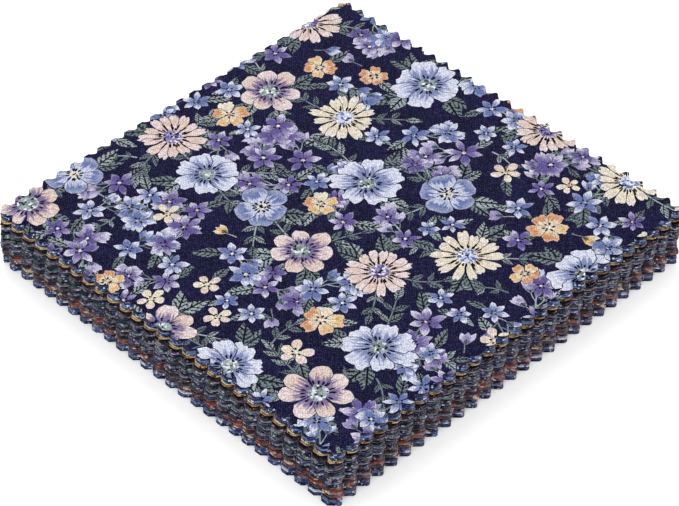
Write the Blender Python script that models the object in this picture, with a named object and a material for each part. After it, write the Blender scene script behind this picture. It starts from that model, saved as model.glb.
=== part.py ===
"""A charm pack: a stack of five inch quilting squares with pinked edges.

The stack stands on Z = 0 with its middle over the origin, and its sides lie along X and Y.
It is made of leaves, and one leaf stands for three or four of the thin cotton squares.
Each leaf is cut as a pinking die cuts it: one pair of zigzag cuts along X, then one along Y.
"""

import math
import random

import bmesh
import bpy
from mathutils import Vector
from mathutils.geometry import delaunay_2d_cdt

MM = 0.001

# Driving dimensions, in millimetres
SIDE = 127.0
TEETH = 27
LEAVES = 12
LEAF_THICKNESS = 1.2
LEAF_GAP = 0.34
GRID_STEP = 20.0

PITCH = SIDE / TEETH
TOOTH_DEPTH = PITCH / 2
VALLEY_HALF = SIDE / 2 - TOOTH_DEPTH

# Where the first valley of each cut lies, as a share of the pitch from the cut's low X or Y end
# Columns: share in the bottom leaf, share in the top leaf
FIRST_VALLEY = {
    "near": (0.21, 0.63),
    "far": (0.77, 0.77),
    "left": (0.65, 0.65),
    "right": (0.73, 0.69),
}

# How the stack leans from its bottom leaf to its top one, along X and Y
LEAN = (0.1, 0.6)

# How the squares lie a little out of line with each other
SEED = 42
MOST_SHIFT = 0.35
MOST_TURN = math.radians(0.22)

# How loosely the stack lies at its corners: 1 is LEAF_THICKNESS and LEAF_GAP exactly
# Columns: at the low Y side, at the high Y side
FULLNESS = {
    "low X": (1.0, 0.992),
    "high X": (1.007, 0.988),
}

# Cloth colours from the bottom leaf to the top one, as linear red, green and blue
CLOTHS = (
    ("indigo", (0.035, 0.040, 0.130)),
    ("rust", (0.300, 0.075, 0.035)),
    ("umber", (0.095, 0.050, 0.035)),
    ("charcoal", (0.040, 0.040, 0.048)),
    ("ink", (0.015, 0.015, 0.040)),
    ("bottle green", (0.030, 0.050, 0.035)),
    ("plum", (0.050, 0.025, 0.060)),
    ("slate", (0.070, 0.075, 0.095)),
    ("black", (0.012, 0.012, 0.016)),
    ("russet", (0.200, 0.060, 0.035)),
    ("gold", (0.450, 0.300, 0.110)),
    ("navy", (0.013, 0.011, 0.065)),
)
COTTON_ROUGHNESS = 0.9


def clear_scene():
    for old in list(bpy.data.objects):
        bpy.data.objects.remove(old, do_unlink=True)


def mix(start, end, share):
    return start + (end - start) * share


def zigzag(first_valley):
    """(along, out) points of one pinked cut: valleys lie on the line and tips stand out of it."""
    points = []
    for tooth in range(-1, TEETH + 1):
        valley = (tooth + first_valley) * PITCH - VALLEY_HALF
        points.append((valley, 0.0))
        points.append((valley + PITCH / 2, TOOTH_DEPTH))
    return points


def strip(low_cut, high_cut):
    """The band left between two pinked cuts, as (along, across) points, counter-clockwise."""
    low = [(along, -VALLEY_HALF - out) for along, out in zigzag(low_cut)]
    high = [(along, VALLEY_HALF + out) for along, out in zigzag(high_cut)]
    return low + high[::-1]


def grid_points():
    """Points inside the leaf, which let its faces follow the fullness of the stack."""
    count = int(2 * VALLEY_HALF // GRID_STEP)
    start = -(count - 1) / 2 * GRID_STEP
    steps = [start + i * GRID_STEP for i in range(count)]
    return [(x, y) for x in steps for y in steps]


def pinked_square(rise):
    """Vertices and triangles of the square where the two bands cross, at a share of the height."""
    first = {cut: mix(low, high, rise) for cut, (low, high) in FIRST_VALLEY.items()}
    along_x = strip(first["near"], first["far"])
    along_y = strip(first["left"], first["right"])
    along_y = [(across, along) for along, across in along_y][::-1]
    inside = grid_points()
    verts = [Vector(p) for p in along_x + along_y + inside]
    band_x = list(range(len(along_x)))
    band_y = list(range(len(along_x), len(along_x) + len(along_y)))
    cut = delaunay_2d_cdt(verts, [], [band_x, band_y], 1, 1e-6, True)
    points, faces, sources = cut[0], cut[2], cut[5]
    kept = [face for face, source in zip(faces, sources) if {0, 1} <= set(source)]
    used = sorted({index for face in kept for index in face})
    place = {index: i for i, index in enumerate(used)}
    return [points[i] for i in used], [[place[i] for i in face] for face in kept]


def fullness(x, y):
    """How loosely the leaves lie at a place, blended from the four corners."""
    low = mix(*FULLNESS["low X"], y / SIDE + 0.5)
    high = mix(*FULLNESS["high X"], y / SIDE + 0.5)
    return mix(low, high, x / SIDE + 0.5)


def leaf_mesh(name, level, shift, turn):
    """One leaf: the pinked square, moved a little, between two faces that follow the stack."""
    shape = bmesh.new()
    outline, triangles = pinked_square(level / (LEAVES - 1))
    under = level * (LEAF_THICKNESS + LEAF_GAP)
    rings = []
    for height in (under, under + LEAF_THICKNESS):
        ring = []
        for point in outline:
            x = point.x * math.cos(turn) - point.y * math.sin(turn) + shift[0]
            y = point.x * math.sin(turn) + point.y * math.cos(turn) + shift[1]
            z = height * fullness(x, y)
            ring.append(shape.verts.new((x * MM, y * MM, z * MM)))
        rings.append(ring)
    low, high = rings
    for a, b, c in triangles:
        shape.faces.new((high[a], high[b], high[c]))
        shape.faces.new((low[c], low[b], low[a]))
    edges = {(a, b) for face in triangles for a, b in zip(face, face[1:] + face[:1])}
    for a, b in sorted(edges):
        if (b, a) not in edges:
            shape.faces.new((low[a], low[b], high[b], high[a]))
    bmesh.ops.recalc_face_normals(shape, faces=shape.faces[:])
    mesh = bpy.data.meshes.new(name)
    shape.to_mesh(mesh)
    shape.free()
    return mesh


def cotton(name, colour):
    material = bpy.data.materials.new(name + " cotton")
    material.use_nodes = True
    surface = material.node_tree.nodes["Principled BSDF"]
    surface.inputs["Base Color"].default_value = (*colour, 1.0)
    surface.inputs["Roughness"].default_value = COTTON_ROUGHNESS
    surface.inputs["Metallic"].default_value = 0.0
    return material


def main():
    clear_scene()
    draws = random.Random(SEED)
    for level, (cloth, colour) in enumerate(CLOTHS[:LEAVES]):
        leant = [way * (level / (LEAVES - 1) - 0.5) for way in LEAN]
        shift = [lean + draws.uniform(-MOST_SHIFT, MOST_SHIFT) for lean in leant]
        turn = draws.uniform(-MOST_TURN, MOST_TURN)
        name = f"charm_layer_{level + 1:02d}"
        mesh = leaf_mesh(name, level, shift, turn)
        mesh.materials.append(cotton(cloth, colour))
        leaf = bpy.data.objects.new(name, mesh)
        bpy.context.scene.collection.objects.link(leaf)


main()
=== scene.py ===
# %% [markdown]
# # A charm pack, square by square
# A charm pack is a stack of five inch squares of quilting cotton, one from each print of a range.
# A pinking die cuts them all, so every side is a zigzag that keeps the weave from fraying.
# The solids hold the stack as 12 leaves. Here each leaf becomes the three or four thin squares
# that it stands for, 42 in all, so the edge shows the fine bands of colour that a real pack has.

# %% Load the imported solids
import math
import random
from collections import namedtuple

import bpy
import numpy as np
from mathutils import Matrix, Vector
from mathutils.geometry import delaunay_2d_cdt


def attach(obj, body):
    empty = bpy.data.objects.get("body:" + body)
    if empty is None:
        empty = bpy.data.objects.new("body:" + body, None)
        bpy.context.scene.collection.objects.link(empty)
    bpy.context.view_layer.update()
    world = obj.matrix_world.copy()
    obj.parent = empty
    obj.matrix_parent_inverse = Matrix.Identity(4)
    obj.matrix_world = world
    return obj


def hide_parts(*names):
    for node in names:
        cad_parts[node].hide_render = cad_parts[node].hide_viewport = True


MM = 0.001

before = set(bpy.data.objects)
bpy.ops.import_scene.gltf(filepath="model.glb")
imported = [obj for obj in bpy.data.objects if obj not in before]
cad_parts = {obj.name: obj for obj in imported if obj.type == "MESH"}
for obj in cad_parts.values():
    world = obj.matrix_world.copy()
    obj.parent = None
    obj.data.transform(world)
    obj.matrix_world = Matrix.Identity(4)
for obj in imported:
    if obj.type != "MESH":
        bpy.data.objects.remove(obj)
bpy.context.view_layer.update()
print("Leaves in the solids:", len(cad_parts))

# %% [markdown]
# ## The camera
# A long lens looks down on one corner of the stack. Its place was worked out from the teeth along
# the four top edges and the two near bottom edges, which are evenly spaced and so easy to count.
# The axes are built by hand, because the picture also leans by about one degree.

# %% Place the camera
IMAGE_WIDTH = 679
SENSOR_WIDTH = 36.0
FOCAL_LENGTH_IN_PIXELS = 2961.7
CAMERA_AIM = Vector((-1.641, 2.000, 0.0)) * MM
CAMERA_DISTANCE = 780.1 * MM
CAMERA_AZIMUTH = math.radians(46.30)
CAMERA_ELEVATION = math.radians(42.33)
CAMERA_ROLL = math.radians(-0.87)
NEAREST_SEEN = 0.01


def put(name, data):
    """A new object in the scene."""
    made = bpy.data.objects.new(name, data)
    bpy.context.scene.collection.objects.link(made)
    return made


def camera_place():
    """The camera's matrix: its right, up and back axes, and where it stands."""
    level_turn = Matrix.Rotation(CAMERA_AZIMUTH, 3, "Z")
    rise = math.sin(CAMERA_ELEVATION)
    run = math.cos(CAMERA_ELEVATION)
    ahead = level_turn @ Vector((0.0, run, -rise))
    up = level_turn @ Vector((0.0, rise, run))
    right = level_turn @ Vector((1.0, 0.0, 0.0))
    leaning_right = right * math.cos(CAMERA_ROLL) + up * math.sin(CAMERA_ROLL)
    leaning_up = up * math.cos(CAMERA_ROLL) - right * math.sin(CAMERA_ROLL)
    place = Matrix((leaning_right, leaning_up, -ahead)).transposed().to_4x4()
    place.translation = CAMERA_AIM - ahead * CAMERA_DISTANCE
    return place


lens = bpy.data.cameras.new("camera")
lens.sensor_width = SENSOR_WIDTH
lens.lens = FOCAL_LENGTH_IN_PIXELS * SENSOR_WIDTH / IMAGE_WIDTH
lens.clip_start = NEAREST_SEEN
camera = put("camera", lens)
camera.matrix_world = camera_place()
bpy.context.scene.camera = camera
print("Camera lens in millimetres:", round(lens.lens, 1))

# %% [markdown]
# ## Floor and light
# The pack lies on a plain white table in even light. One broad lamp above the far left gives the
# top its soft brightness, another brightens the near edges, and a white sky fills the shadows
# between the squares. The table glows a little, which keeps it white beside dark cloth, and it
# lies a hair under the pack, so that the bottom square and the table never share a plane.

# %% Make the floor and the lights
FLOOR_HALF = 3.0
FLOOR_LEVEL = -0.06 * MM
FLOOR_COLOUR = (0.96, 0.96, 0.96, 1.0)
FLOOR_LOOK = {"Base Color": FLOOR_COLOUR, "Roughness": 0.8}
FLOOR_GLOW = {"Emission Color": FLOOR_COLOUR, "Emission Strength": 0.22}
SKY_STRENGTH = 1.02

# Columns: name, place, side in metres and power in watts
LAMPS = (
    ("broad lamp", (-0.35, 0.25, 0.9), 0.6, 1.9),
    ("near lamp", (0.5, -0.9, 0.6), 0.5, 1.9),
)


def new_finish(name, look):
    """A finish with this look, and its node tree and surface."""
    finish = bpy.data.materials.new(name)
    finish.use_nodes = True
    surface = finish.node_tree.nodes["Principled BSDF"]
    for label, value in look.items():
        surface.inputs[label].default_value = value
    return finish, finish.node_tree, surface


def soft_lamp(name, place, size, watts):
    """A square lamp at a place, turned to the pack."""
    lamp = bpy.data.lights.new(name, "AREA")
    lamp.size = size
    lamp.energy = watts
    holder = put(name, lamp)
    holder.location = place
    holder.rotation_euler = (-Vector(place)).to_track_quat("-Z", "Y").to_euler()


corners = [(-FLOOR_HALF, -FLOOR_HALF), (FLOOR_HALF, -FLOOR_HALF)]
corners += [(FLOOR_HALF, FLOOR_HALF), (-FLOOR_HALF, FLOOR_HALF)]
floor_mesh = bpy.data.meshes.new("floor")
floor_mesh.from_pydata([(x, y, FLOOR_LEVEL) for x, y in corners], [], [(0, 1, 2, 3)])
floor_mesh.materials.append(new_finish("white table", FLOOR_LOOK | FLOOR_GLOW)[0])
floor = put("floor", floor_mesh)

sky = bpy.data.worlds.new("white sky")
sky.use_nodes = True
backdrop = sky.node_tree.nodes["Background"]
backdrop.inputs["Color"].default_value = (1.0, 1.0, 1.0, 1.0)
backdrop.inputs["Strength"].default_value = SKY_STRENGTH
bpy.context.scene.world = sky
bpy.context.scene.view_settings.view_transform = "Standard"
for lamp_row in LAMPS:
    soft_lamp(*lamp_row)
print("Lamps:", len(LAMPS))

# %% [markdown]
# ## How the stack lies
# These are the sizes and the rules of the solids, repeated here. The die cuts 27 teeth a side.
# The stack leans a little, each leaf lies slightly out of line, and no corner is quite as full as
# the next, as a stack of loose cloth is.

# %% Repeat the sizes of the solids
SIDE = 127.0
TEETH = 27
LEAVES = 12
STACK_HEIGHT = 18.14
PITCH = SIDE / TEETH
TOOTH_DEPTH = PITCH / 2
VALLEY_HALF = SIDE / 2 - TOOTH_DEPTH

# Where the first valley of each cut lies, as a share of the pitch
# Columns: share in the bottom square, share in the top square
FIRST_VALLEY = {
    "near": (0.21, 0.63),
    "far": (0.77, 0.77),
    "left": (0.65, 0.65),
    "right": (0.73, 0.69),
}

# How the stack leans from its bottom to its top, along X and Y
LEAN = (0.1, 0.6)
SEED = 42
MOST_SHIFT = 0.35
MOST_TURN = math.radians(0.22)

# How loosely the stack lies at its corners
# Columns: at the low Y side, at the high Y side
FULLNESS = {"low X": (1.0, 0.992), "high X": (1.007, 0.988)}


def mix(start, end, share):
    return start + (end - start) * share


def leaf_places():
    """Each leaf's shift and turn, from the same draws as in the solids."""
    draws = random.Random(SEED)
    places = []
    for level in range(LEAVES):
        leant = [way * (level / (LEAVES - 1) - 0.5) for way in LEAN]
        shift = [lean + draws.uniform(-MOST_SHIFT, MOST_SHIFT) for lean in leant]
        places.append((shift, draws.uniform(-MOST_TURN, MOST_TURN)))
    return places


LEAF_PLACES = leaf_places()
print("Tooth pitch and depth:", round(PITCH, 2), round(TOOTH_DEPTH, 2))

# %% [markdown]
# ## The pinked outline
# Pinking shears and dies cut teeth of 90 degrees. Their points soften as cloth does, so each tip
# gets a round end and each valley a small one. Two zigzag bands cross, and what both of them
# cover is the square. A triangulation that keeps every edge finds that crossing, and it also
# gives the faces, with some points inside so that the cloth can follow the stack.

# %% Draw the zigzag of a cut
TIP_ROUND = 0.9
VALLEY_ROUND = 0.3
TIP_STEPS = 6
FLANK_SHARES = (0.25, 0.5, 0.75)
EIGHTH_TURN = math.radians(45)


def tooth_profile():
    """(along, out) points of one tooth, from the middle of its valley."""
    corner = math.sqrt(2)
    valley = []
    for turn in (0.0, EIGHTH_TURN):
        valley.append((VALLEY_ROUND * math.sin(turn), VALLEY_ROUND * (corner - math.cos(turn))))
    tip = []
    for number in range(TIP_STEPS + 1):
        turn = mix(-EIGHTH_TURN, EIGHTH_TURN, number / TIP_STEPS)
        along = PITCH / 2 + TIP_ROUND * math.sin(turn)
        tip.append((along, TOOTH_DEPTH - TIP_ROUND * (corner - math.cos(turn))))
    low = valley[-1]
    high = tip[0]
    flank = [(mix(low[0], high[0], share), mix(low[1], high[1], share)) for share in FLANK_SHARES]
    after = [(PITCH - along, out) for along, out in flank[::-1] + [low]]
    return valley + flank + tip + after


def zigzag(first_valley):
    """(along, out) points of a whole cut, a little longer than the side."""
    points = []
    for tooth in range(-1, TEETH + 1):
        valley = (tooth + first_valley) * PITCH - VALLEY_HALF
        points += [(valley + along, out) for along, out in tooth_profile()]
    return points


def band(low_cut, high_cut):
    """What lies between two cuts, counter-clockwise, as (along, across)."""
    low = [(along, -VALLEY_HALF - out) for along, out in zigzag(low_cut)]
    high = [(along, VALLEY_HALF + out) for along, out in zigzag(high_cut)]
    return low + high[::-1]


print("Points in one tooth:", len(tooth_profile()))

# %% Cut a pinked square
PLAIN_SPACING = 12.0
PRINTED_SPACING = 2.5
GRID_INSET = 1.0
SAME_PLACE = 1e-5


def inside_points(spacing):
    """A grid inside the square."""
    count = int(2 * (VALLEY_HALF - GRID_INSET) // spacing) + 1
    start = -(count - 1) / 2 * spacing
    steps = [start + number * spacing for number in range(count)]
    return [(x, y) for x in steps for y in steps]


def covered(outline, spots):
    """Which spots lie inside an outline, by how often a line from each one crosses it."""
    low = outline.min(axis=0)
    high = outline.max(axis=0)
    near = np.flatnonzero(((spots > low) & (spots < high)).all(axis=1))
    across = spots[near, 0, None]
    up = spots[near, 1, None]
    ends = np.roll(outline, -1, axis=0)
    passes = (outline[:, 1] > up) != (ends[:, 1] > up)
    rise = np.where(ends[:, 1] == outline[:, 1], 1.0, ends[:, 1] - outline[:, 1])
    crossing = outline[:, 0] + (up - outline[:, 1]) * (ends[:, 0] - outline[:, 0]) / rise
    inside = np.zeros(len(spots), bool)
    inside[near] = (passes & (across < crossing)).sum(axis=1) % 2 == 1
    return inside


def cut_along(outlines, spacing=PLAIN_SPACING):
    """One triangulation of a grid and all these outlines, and the middle of each triangle."""
    spots = []
    edges = []
    for outline in outlines:
        start = len(spots)
        spots += [Vector(spot) for spot in outline]
        edges += [(start + n, start + (n + 1) % len(outline)) for n in range(len(outline))]
    spots += [Vector(spot) for spot in inside_points(spacing)]
    cut = delaunay_2d_cdt(spots, edges, [], 0, SAME_PLACE, False)
    places = np.array([tuple(spot) for spot in cut[0]])
    faces = np.array(cut[2])
    return places, faces, places[faces].mean(axis=1)


def cut_square(rise, figures=()):
    """Points, triangles and each triangle's topmost figure, at a share of the height."""
    first = {cut: mix(low, high, rise) for cut, (low, high) in FIRST_VALLEY.items()}
    along_x = band(first["near"], first["far"])
    along_y = [(across, along) for along, across in band(first["left"], first["right"])]
    outlines = [along_x, along_y] + [figure.outline for figure in figures]
    places, faces, centres = cut_along(outlines, PRINTED_SPACING if figures else PLAIN_SPACING)
    kept = covered(np.array(along_x), centres) & covered(np.array(along_y), centres)
    faces = faces[kept]
    centres = centres[kept]
    tops = np.full(len(faces), -1)
    for number, figure in enumerate(figures):
        tops[covered(np.array(figure.outline), centres)] = number
    used, triangles = np.unique(faces, return_inverse=True)
    return places[used], triangles.reshape(-1, 3).tolist(), tops.tolist()


points, triangles, tops = cut_square(0.5)
print("A plain square has", len(points), "points and", len(triangles), "triangles")

# %% [markdown]
# ## From outline to cloth
# Cloth has two faces and a cut edge between them, so a square is closed into a sheet 0.36 mm
# thick. Attributes mark what the later steps need: how near the rim a point is, which points lie
# on the cut, which faces are the cut edge, and where on its bolt of cloth the square was cut.
# What belongs to a face is written at its corners, because the threads that are joined on later
# would spread it over the points, and blur it.

# %% Close a square into a thin sheet
CLOTH_THICKNESS = 0.36

Sheet = namedtuple("Sheet", "points faces wall_start rim")


def open_edges(triangles):
    """The rim, as edges that only one triangle has."""
    edges = {(a, b) for face in triangles for a, b in zip(face, face[1:] + face[:1])}
    return sorted((a, b) for a, b in edges if (b, a) not in edges)


def rim_loop(edges):
    """The rim's points in order."""
    after = dict(edges)
    loop = [edges[0][0]]
    while after[loop[-1]] != loop[0]:
        loop.append(after[loop[-1]])
    return loop


def closed_sheet(points, triangles):
    """The square's top as it is, a coarser underside, and the cut edge between them."""
    loop = rim_loop(open_edges(triangles))
    rim_points = points[loop]
    under, under_faces, centres = cut_along([rim_points])
    under_faces = under_faces[covered(rim_points, centres)]
    low = len(points)
    found = {tuple(spot): low + number for number, spot in enumerate(under)}
    match = [found[tuple(spot)] for spot in rim_points]
    spread = [(x, y, CLOTH_THICKNESS) for x, y in points] + [(x, y, 0.0) for x, y in under]
    faces = [tuple(face) for face in triangles]
    faces += [tuple(low + index for index in face[::-1]) for face in under_faces.tolist()]
    wall_start = len(faces)
    for number, index in enumerate(loop):
        onward = (number + 1) % len(loop)
        faces.append((loop[onward], index, match[number], match[onward]))
    return Sheet(spread, faces, wall_start, set(loop + match))


trial = closed_sheet(points, triangles)
print("Closed, it has", len(trial.faces), "faces, of them on the cut edge:", len(trial.rim) // 2)

# %% Mark what the later steps need
RIM_REACH = 9.0
TIP_SHARE = 0.82


def mark(mesh, name, domain, kind, numbers):
    """Writes an attribute, given as a flat list."""
    field = {"FLOAT": "value", "FLOAT_VECTOR": "vector", "FLOAT_COLOR": "color"}[kind]
    mesh.attributes.new(name, kind, domain).data.foreach_set(field, numbers)


def cloth_object(name, sheet, bolt):
    """A flat square of cloth as an object, with its attributes."""
    mesh = bpy.data.meshes.new(name)
    mesh.from_pydata([[number * MM for number in point] for point in sheet.points], [], sheet.faces)
    inset = [SIDE / 2 - max(abs(x), abs(y)) for x, y, z in sheet.points]
    tip = [max(0.0, 1 - away / TOOTH_DEPTH) for away in inset]
    fields = {
        "rim": [max(0.0, 1 - away / RIM_REACH) for away in inset],
        "tip": tip,
        "sag": [math.sin(math.pi * min(1.0, share / TIP_SHARE)) for share in tip],
        "cut": [float(index in sheet.rim) for index in range(len(sheet.points))],
    }
    for field, numbers in fields.items():
        mark(mesh, field, "POINT", "FLOAT", numbers)
    wall = []
    for index, face in enumerate(sheet.faces):
        wall += [float(index >= sheet.wall_start)] * len(face)
    mark(mesh, "wall", "CORNER", "FLOAT", wall)
    flat = mesh.uv_layers.new(name="bolt").uv
    places = [sheet.points[corner.vertex_index] for corner in mesh.loops]
    flat.foreach_set("vector", [p[i] + bolt[i] for p in places for i in (0, 1)])
    return put(name, mesh)


print("The rim can wave over the outer", RIM_REACH, "mm")

# %% [markdown]
# ## Laying a square on the stack
# Each square goes to its own height, turned and shifted a little, and its rim waves as cut cotton
# does. That is one rule with a few numbers, which is what Geometry Nodes are for. The wave comes
# from one noise for the whole stack that changes slowly with height, so that squares that touch
# wave together and never pass through each other.

# %% Helpers for node trees
def feed(tree, socket, value):
    """Links a socket, or sets it."""
    if isinstance(value, bpy.types.NodeSocket):
        tree.links.new(value, socket)
    else:
        socket.default_value = value


def add(tree, kind, inputs=None, **options):
    """Adds a node with these options and inputs, and gives its outputs."""
    made = tree.nodes.new(kind)
    for option, choice in options.items():
        setattr(made, option, choice)
    for name, value in (inputs or {}).items():
        feed(tree, made.inputs[name], value)
    return made.outputs


def reckon(tree, operation, *numbers, clamp=False):
    """A sum on numbers."""
    inputs = dict(enumerate(numbers))
    return add(tree, "ShaderNodeMath", inputs, operation=operation, use_clamp=clamp)[0]


def on_vectors(tree, operation, *vectors, scale=None):
    """A sum on vectors, or a vector scaled by a number."""
    inputs = dict(enumerate(vectors))
    if scale is not None:
        inputs["Scale"] = scale
    return add(tree, "ShaderNodeVectorMath", inputs, operation=operation)[0]


def apart(tree, vector):
    """A vector's X, Y and Z."""
    return add(tree, "ShaderNodeSeparateXYZ", {0: vector})


def noise(tree, place, scale, detail=2.0, level=None):
    """Noise at a place. With a level, it also changes with that."""
    inputs = {"Vector": place, "Scale": scale, "Detail": detail}
    if level is None:
        return add(tree, "ShaderNodeTexNoise", inputs)
    return add(tree, "ShaderNodeTexNoise", inputs | {"W": level}, noise_dimensions="4D")


def between(tree, low, high, share):
    """A number part of the way from low to high."""
    return add(tree, "ShaderNodeMix", {0: share, 2: low, 3: high}, clamp_factor=False)[0]


def attribute(tree, name):
    """A named number of the geometry."""
    return add(tree, "GeometryNodeInputNamedAttribute", {"Name": name}, data_type="FLOAT")[0]


def new_tree(name, sockets):
    """An empty tree with these inputs, as name: kind, and its input and output nodes."""
    tree = bpy.data.node_groups.new(name, "GeometryNodeTree")
    tree.interface.new_socket("Geometry", in_out="INPUT", socket_type="NodeSocketGeometry")
    for label, kind in sockets.items():
        tree.interface.new_socket(label, in_out="INPUT", socket_type="NodeSocket" + kind)
    tree.interface.new_socket("Geometry", in_out="OUTPUT", socket_type="NodeSocketGeometry")
    return tree, tree.nodes.new("NodeGroupInput").outputs, tree.nodes.new("NodeGroupOutput").inputs


def use_tree(piece, tree, values):
    """Puts a tree on a piece, with its inputs set by their identifiers."""
    modifier = piece.modifiers.new(tree.name, "NODES")
    modifier.node_group = tree
    for item in tree.interface.items_tree:
        if item.in_out == "INPUT" and item.name in values:
            modifier[item.identifier] = values[item.name]


# %% Build the tree that lays a square
# Scales of noise here count its waves in a metre
WAVE_SCALE = 210.0
WAVE_DETAIL = 1.0
WAVE_STEEPNESS = 1.5
RAGGED_SCALE = 1900.0
RAGGED_DRIFT = 9.0
RAGGED_WAYS = (1.0, 1.0, 0.4)
NOISE_MIDDLE = 0.5


def fullness_at(tree, place):
    """How loosely the stack lies at a place, blended from its four corners."""
    across = apart(tree, place)
    share_x = reckon(tree, "MULTIPLY_ADD", across["X"], 1 / (SIDE * MM), 0.5)
    share_y = reckon(tree, "MULTIPLY_ADD", across["Y"], 1 / (SIDE * MM), 0.5)
    low = between(tree, *FULLNESS["low X"], share_y)
    high = between(tree, *FULLNESS["high X"], share_y)
    return between(tree, low, high, share_x)


def waved_height(tree, given, start, moved):
    """A point's height in the stack, with the wave of the rim and the sag between its teeth."""
    raised = reckon(tree, "ADD", apart(tree, start)["Z"], given["Height"])
    settled = reckon(tree, "MULTIPLY", raised, fullness_at(tree, moved))
    wave = noise(tree, moved, WAVE_SCALE, WAVE_DETAIL, given["Level"])[0]
    swing = reckon(tree, "MULTIPLY", reckon(tree, "SUBTRACT", wave, NOISE_MIDDLE), given["Wave"])
    near_rim = reckon(tree, "POWER", attribute(tree, "rim"), WAVE_STEEPNESS)
    waved = reckon(tree, "MULTIPLY_ADD", swing, near_rim, settled)
    sag = reckon(tree, "MULTIPLY", attribute(tree, "sag"), given["Sag"])
    return reckon(tree, "SUBTRACT", waved, sag)


def ragged_pull(tree, given, moved):
    """How far, and which way, the uneven cut pulls a point of the edge."""
    level = reckon(tree, "MULTIPLY", given["Level"], RAGGED_DRIFT)
    rough = noise(tree, moved, RAGGED_SCALE, level=level)["Color"]
    pull = on_vectors(tree, "SUBTRACT", rough, (NOISE_MIDDLE,) * 3)
    pull = on_vectors(tree, "MULTIPLY", pull, RAGGED_WAYS)
    amount = reckon(tree, "MULTIPLY", attribute(tree, "cut"), given["Ragged"])
    return on_vectors(tree, "SCALE", pull, scale=amount)


def laying_tree():
    """Moves a flat square to its place in the stack."""
    inputs = {"Height": "Float", "Shift": "Vector", "Turn": "Float", "Level": "Float"}
    inputs |= {"Wave": "Float", "Sag": "Float", "Ragged": "Float", "Cloth": "Material"}
    tree, given, result = new_tree("lay a square", inputs)
    start = add(tree, "GeometryNodeInputPosition")[0]
    turning = {"Vector": start, "Angle": given["Turn"]}
    turned = add(tree, "ShaderNodeVectorRotate", turning, rotation_type="Z_AXIS")[0]
    moved = on_vectors(tree, "ADD", turned, given["Shift"])
    flat = apart(tree, moved)
    height = waved_height(tree, given, start, moved)
    laid = add(tree, "ShaderNodeCombineXYZ", {0: flat["X"], 1: flat["Y"], 2: height})[0]
    placing = {"Geometry": given["Geometry"], "Position": laid}
    placing["Offset"] = ragged_pull(tree, given, moved)
    shape = add(tree, "GeometryNodeSetPosition", placing)[0]
    unprinted = reckon(tree, "LESS_THAN", attribute(tree, "printed"), 0.5)
    wearing = {"Geometry": shape, "Selection": unprinted, "Material": given["Cloth"]}
    tree.links.new(add(tree, "GeometryNodeSetMaterial", wearing)[0], result[0])
    return tree


LAYING = laying_tree()
print("Nodes in the laying tree:", len(LAYING.nodes))

# %% [markdown]
# ## Cut threads
# At a pinked edge the ends of single threads stand out of the weave. They are far too many to
# place by hand, so a second tree scatters points on the cut edge and sets a short bent thread on
# each, turned at random. The threads stay part of their square.

# %% Build the tree that frays the cut edge
THREAD_THICKNESS = 0.022
THREAD_LENGTH = 0.34
THREAD_ROOT = 0.1
THREAD_BEND = 0.16
THREAD_SIDES = 3
THREAD_SIZES = (0.35, 1.1)
MOST_LEAN = 0.6
ANY_WAY_ROUND = 3.1
SHADES = (0.05, 1.0)
SHADES_ID = 7


def random_between(tree, low, high, kind="FLOAT", **inputs):
    """A random number or vector for each thread."""
    places = {"FLOAT": (2, 3, 1), "FLOAT_VECTOR": (0, 1, 0)}[kind]
    inputs = {places[0]: low, places[1]: high} | inputs
    return add(tree, "FunctionNodeRandomValue", inputs, data_type=kind)[places[2]]


def one_thread(tree):
    """A short bent thread that stands on its root."""
    bend = {"Resolution": 2, "Start": (0.0, 0.0, -THREAD_ROOT * MM)}
    bend["Middle"] = (0.0, 0.0, THREAD_LENGTH * MM / 2)
    bend["End"] = (THREAD_BEND * MM, 0.0, THREAD_LENGTH * MM)
    path = add(tree, "GeometryNodeCurveQuadraticBezier", bend)[0]
    ring = {"Resolution": THREAD_SIDES, "Radius": THREAD_THICKNESS * MM}
    profile = add(tree, "GeometryNodeCurvePrimitiveCircle", ring)[0]
    swept = {"Curve": path, "Profile Curve": profile, "Fill Caps": True}
    return add(tree, "GeometryNodeCurveToMesh", swept)[0]


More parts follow.
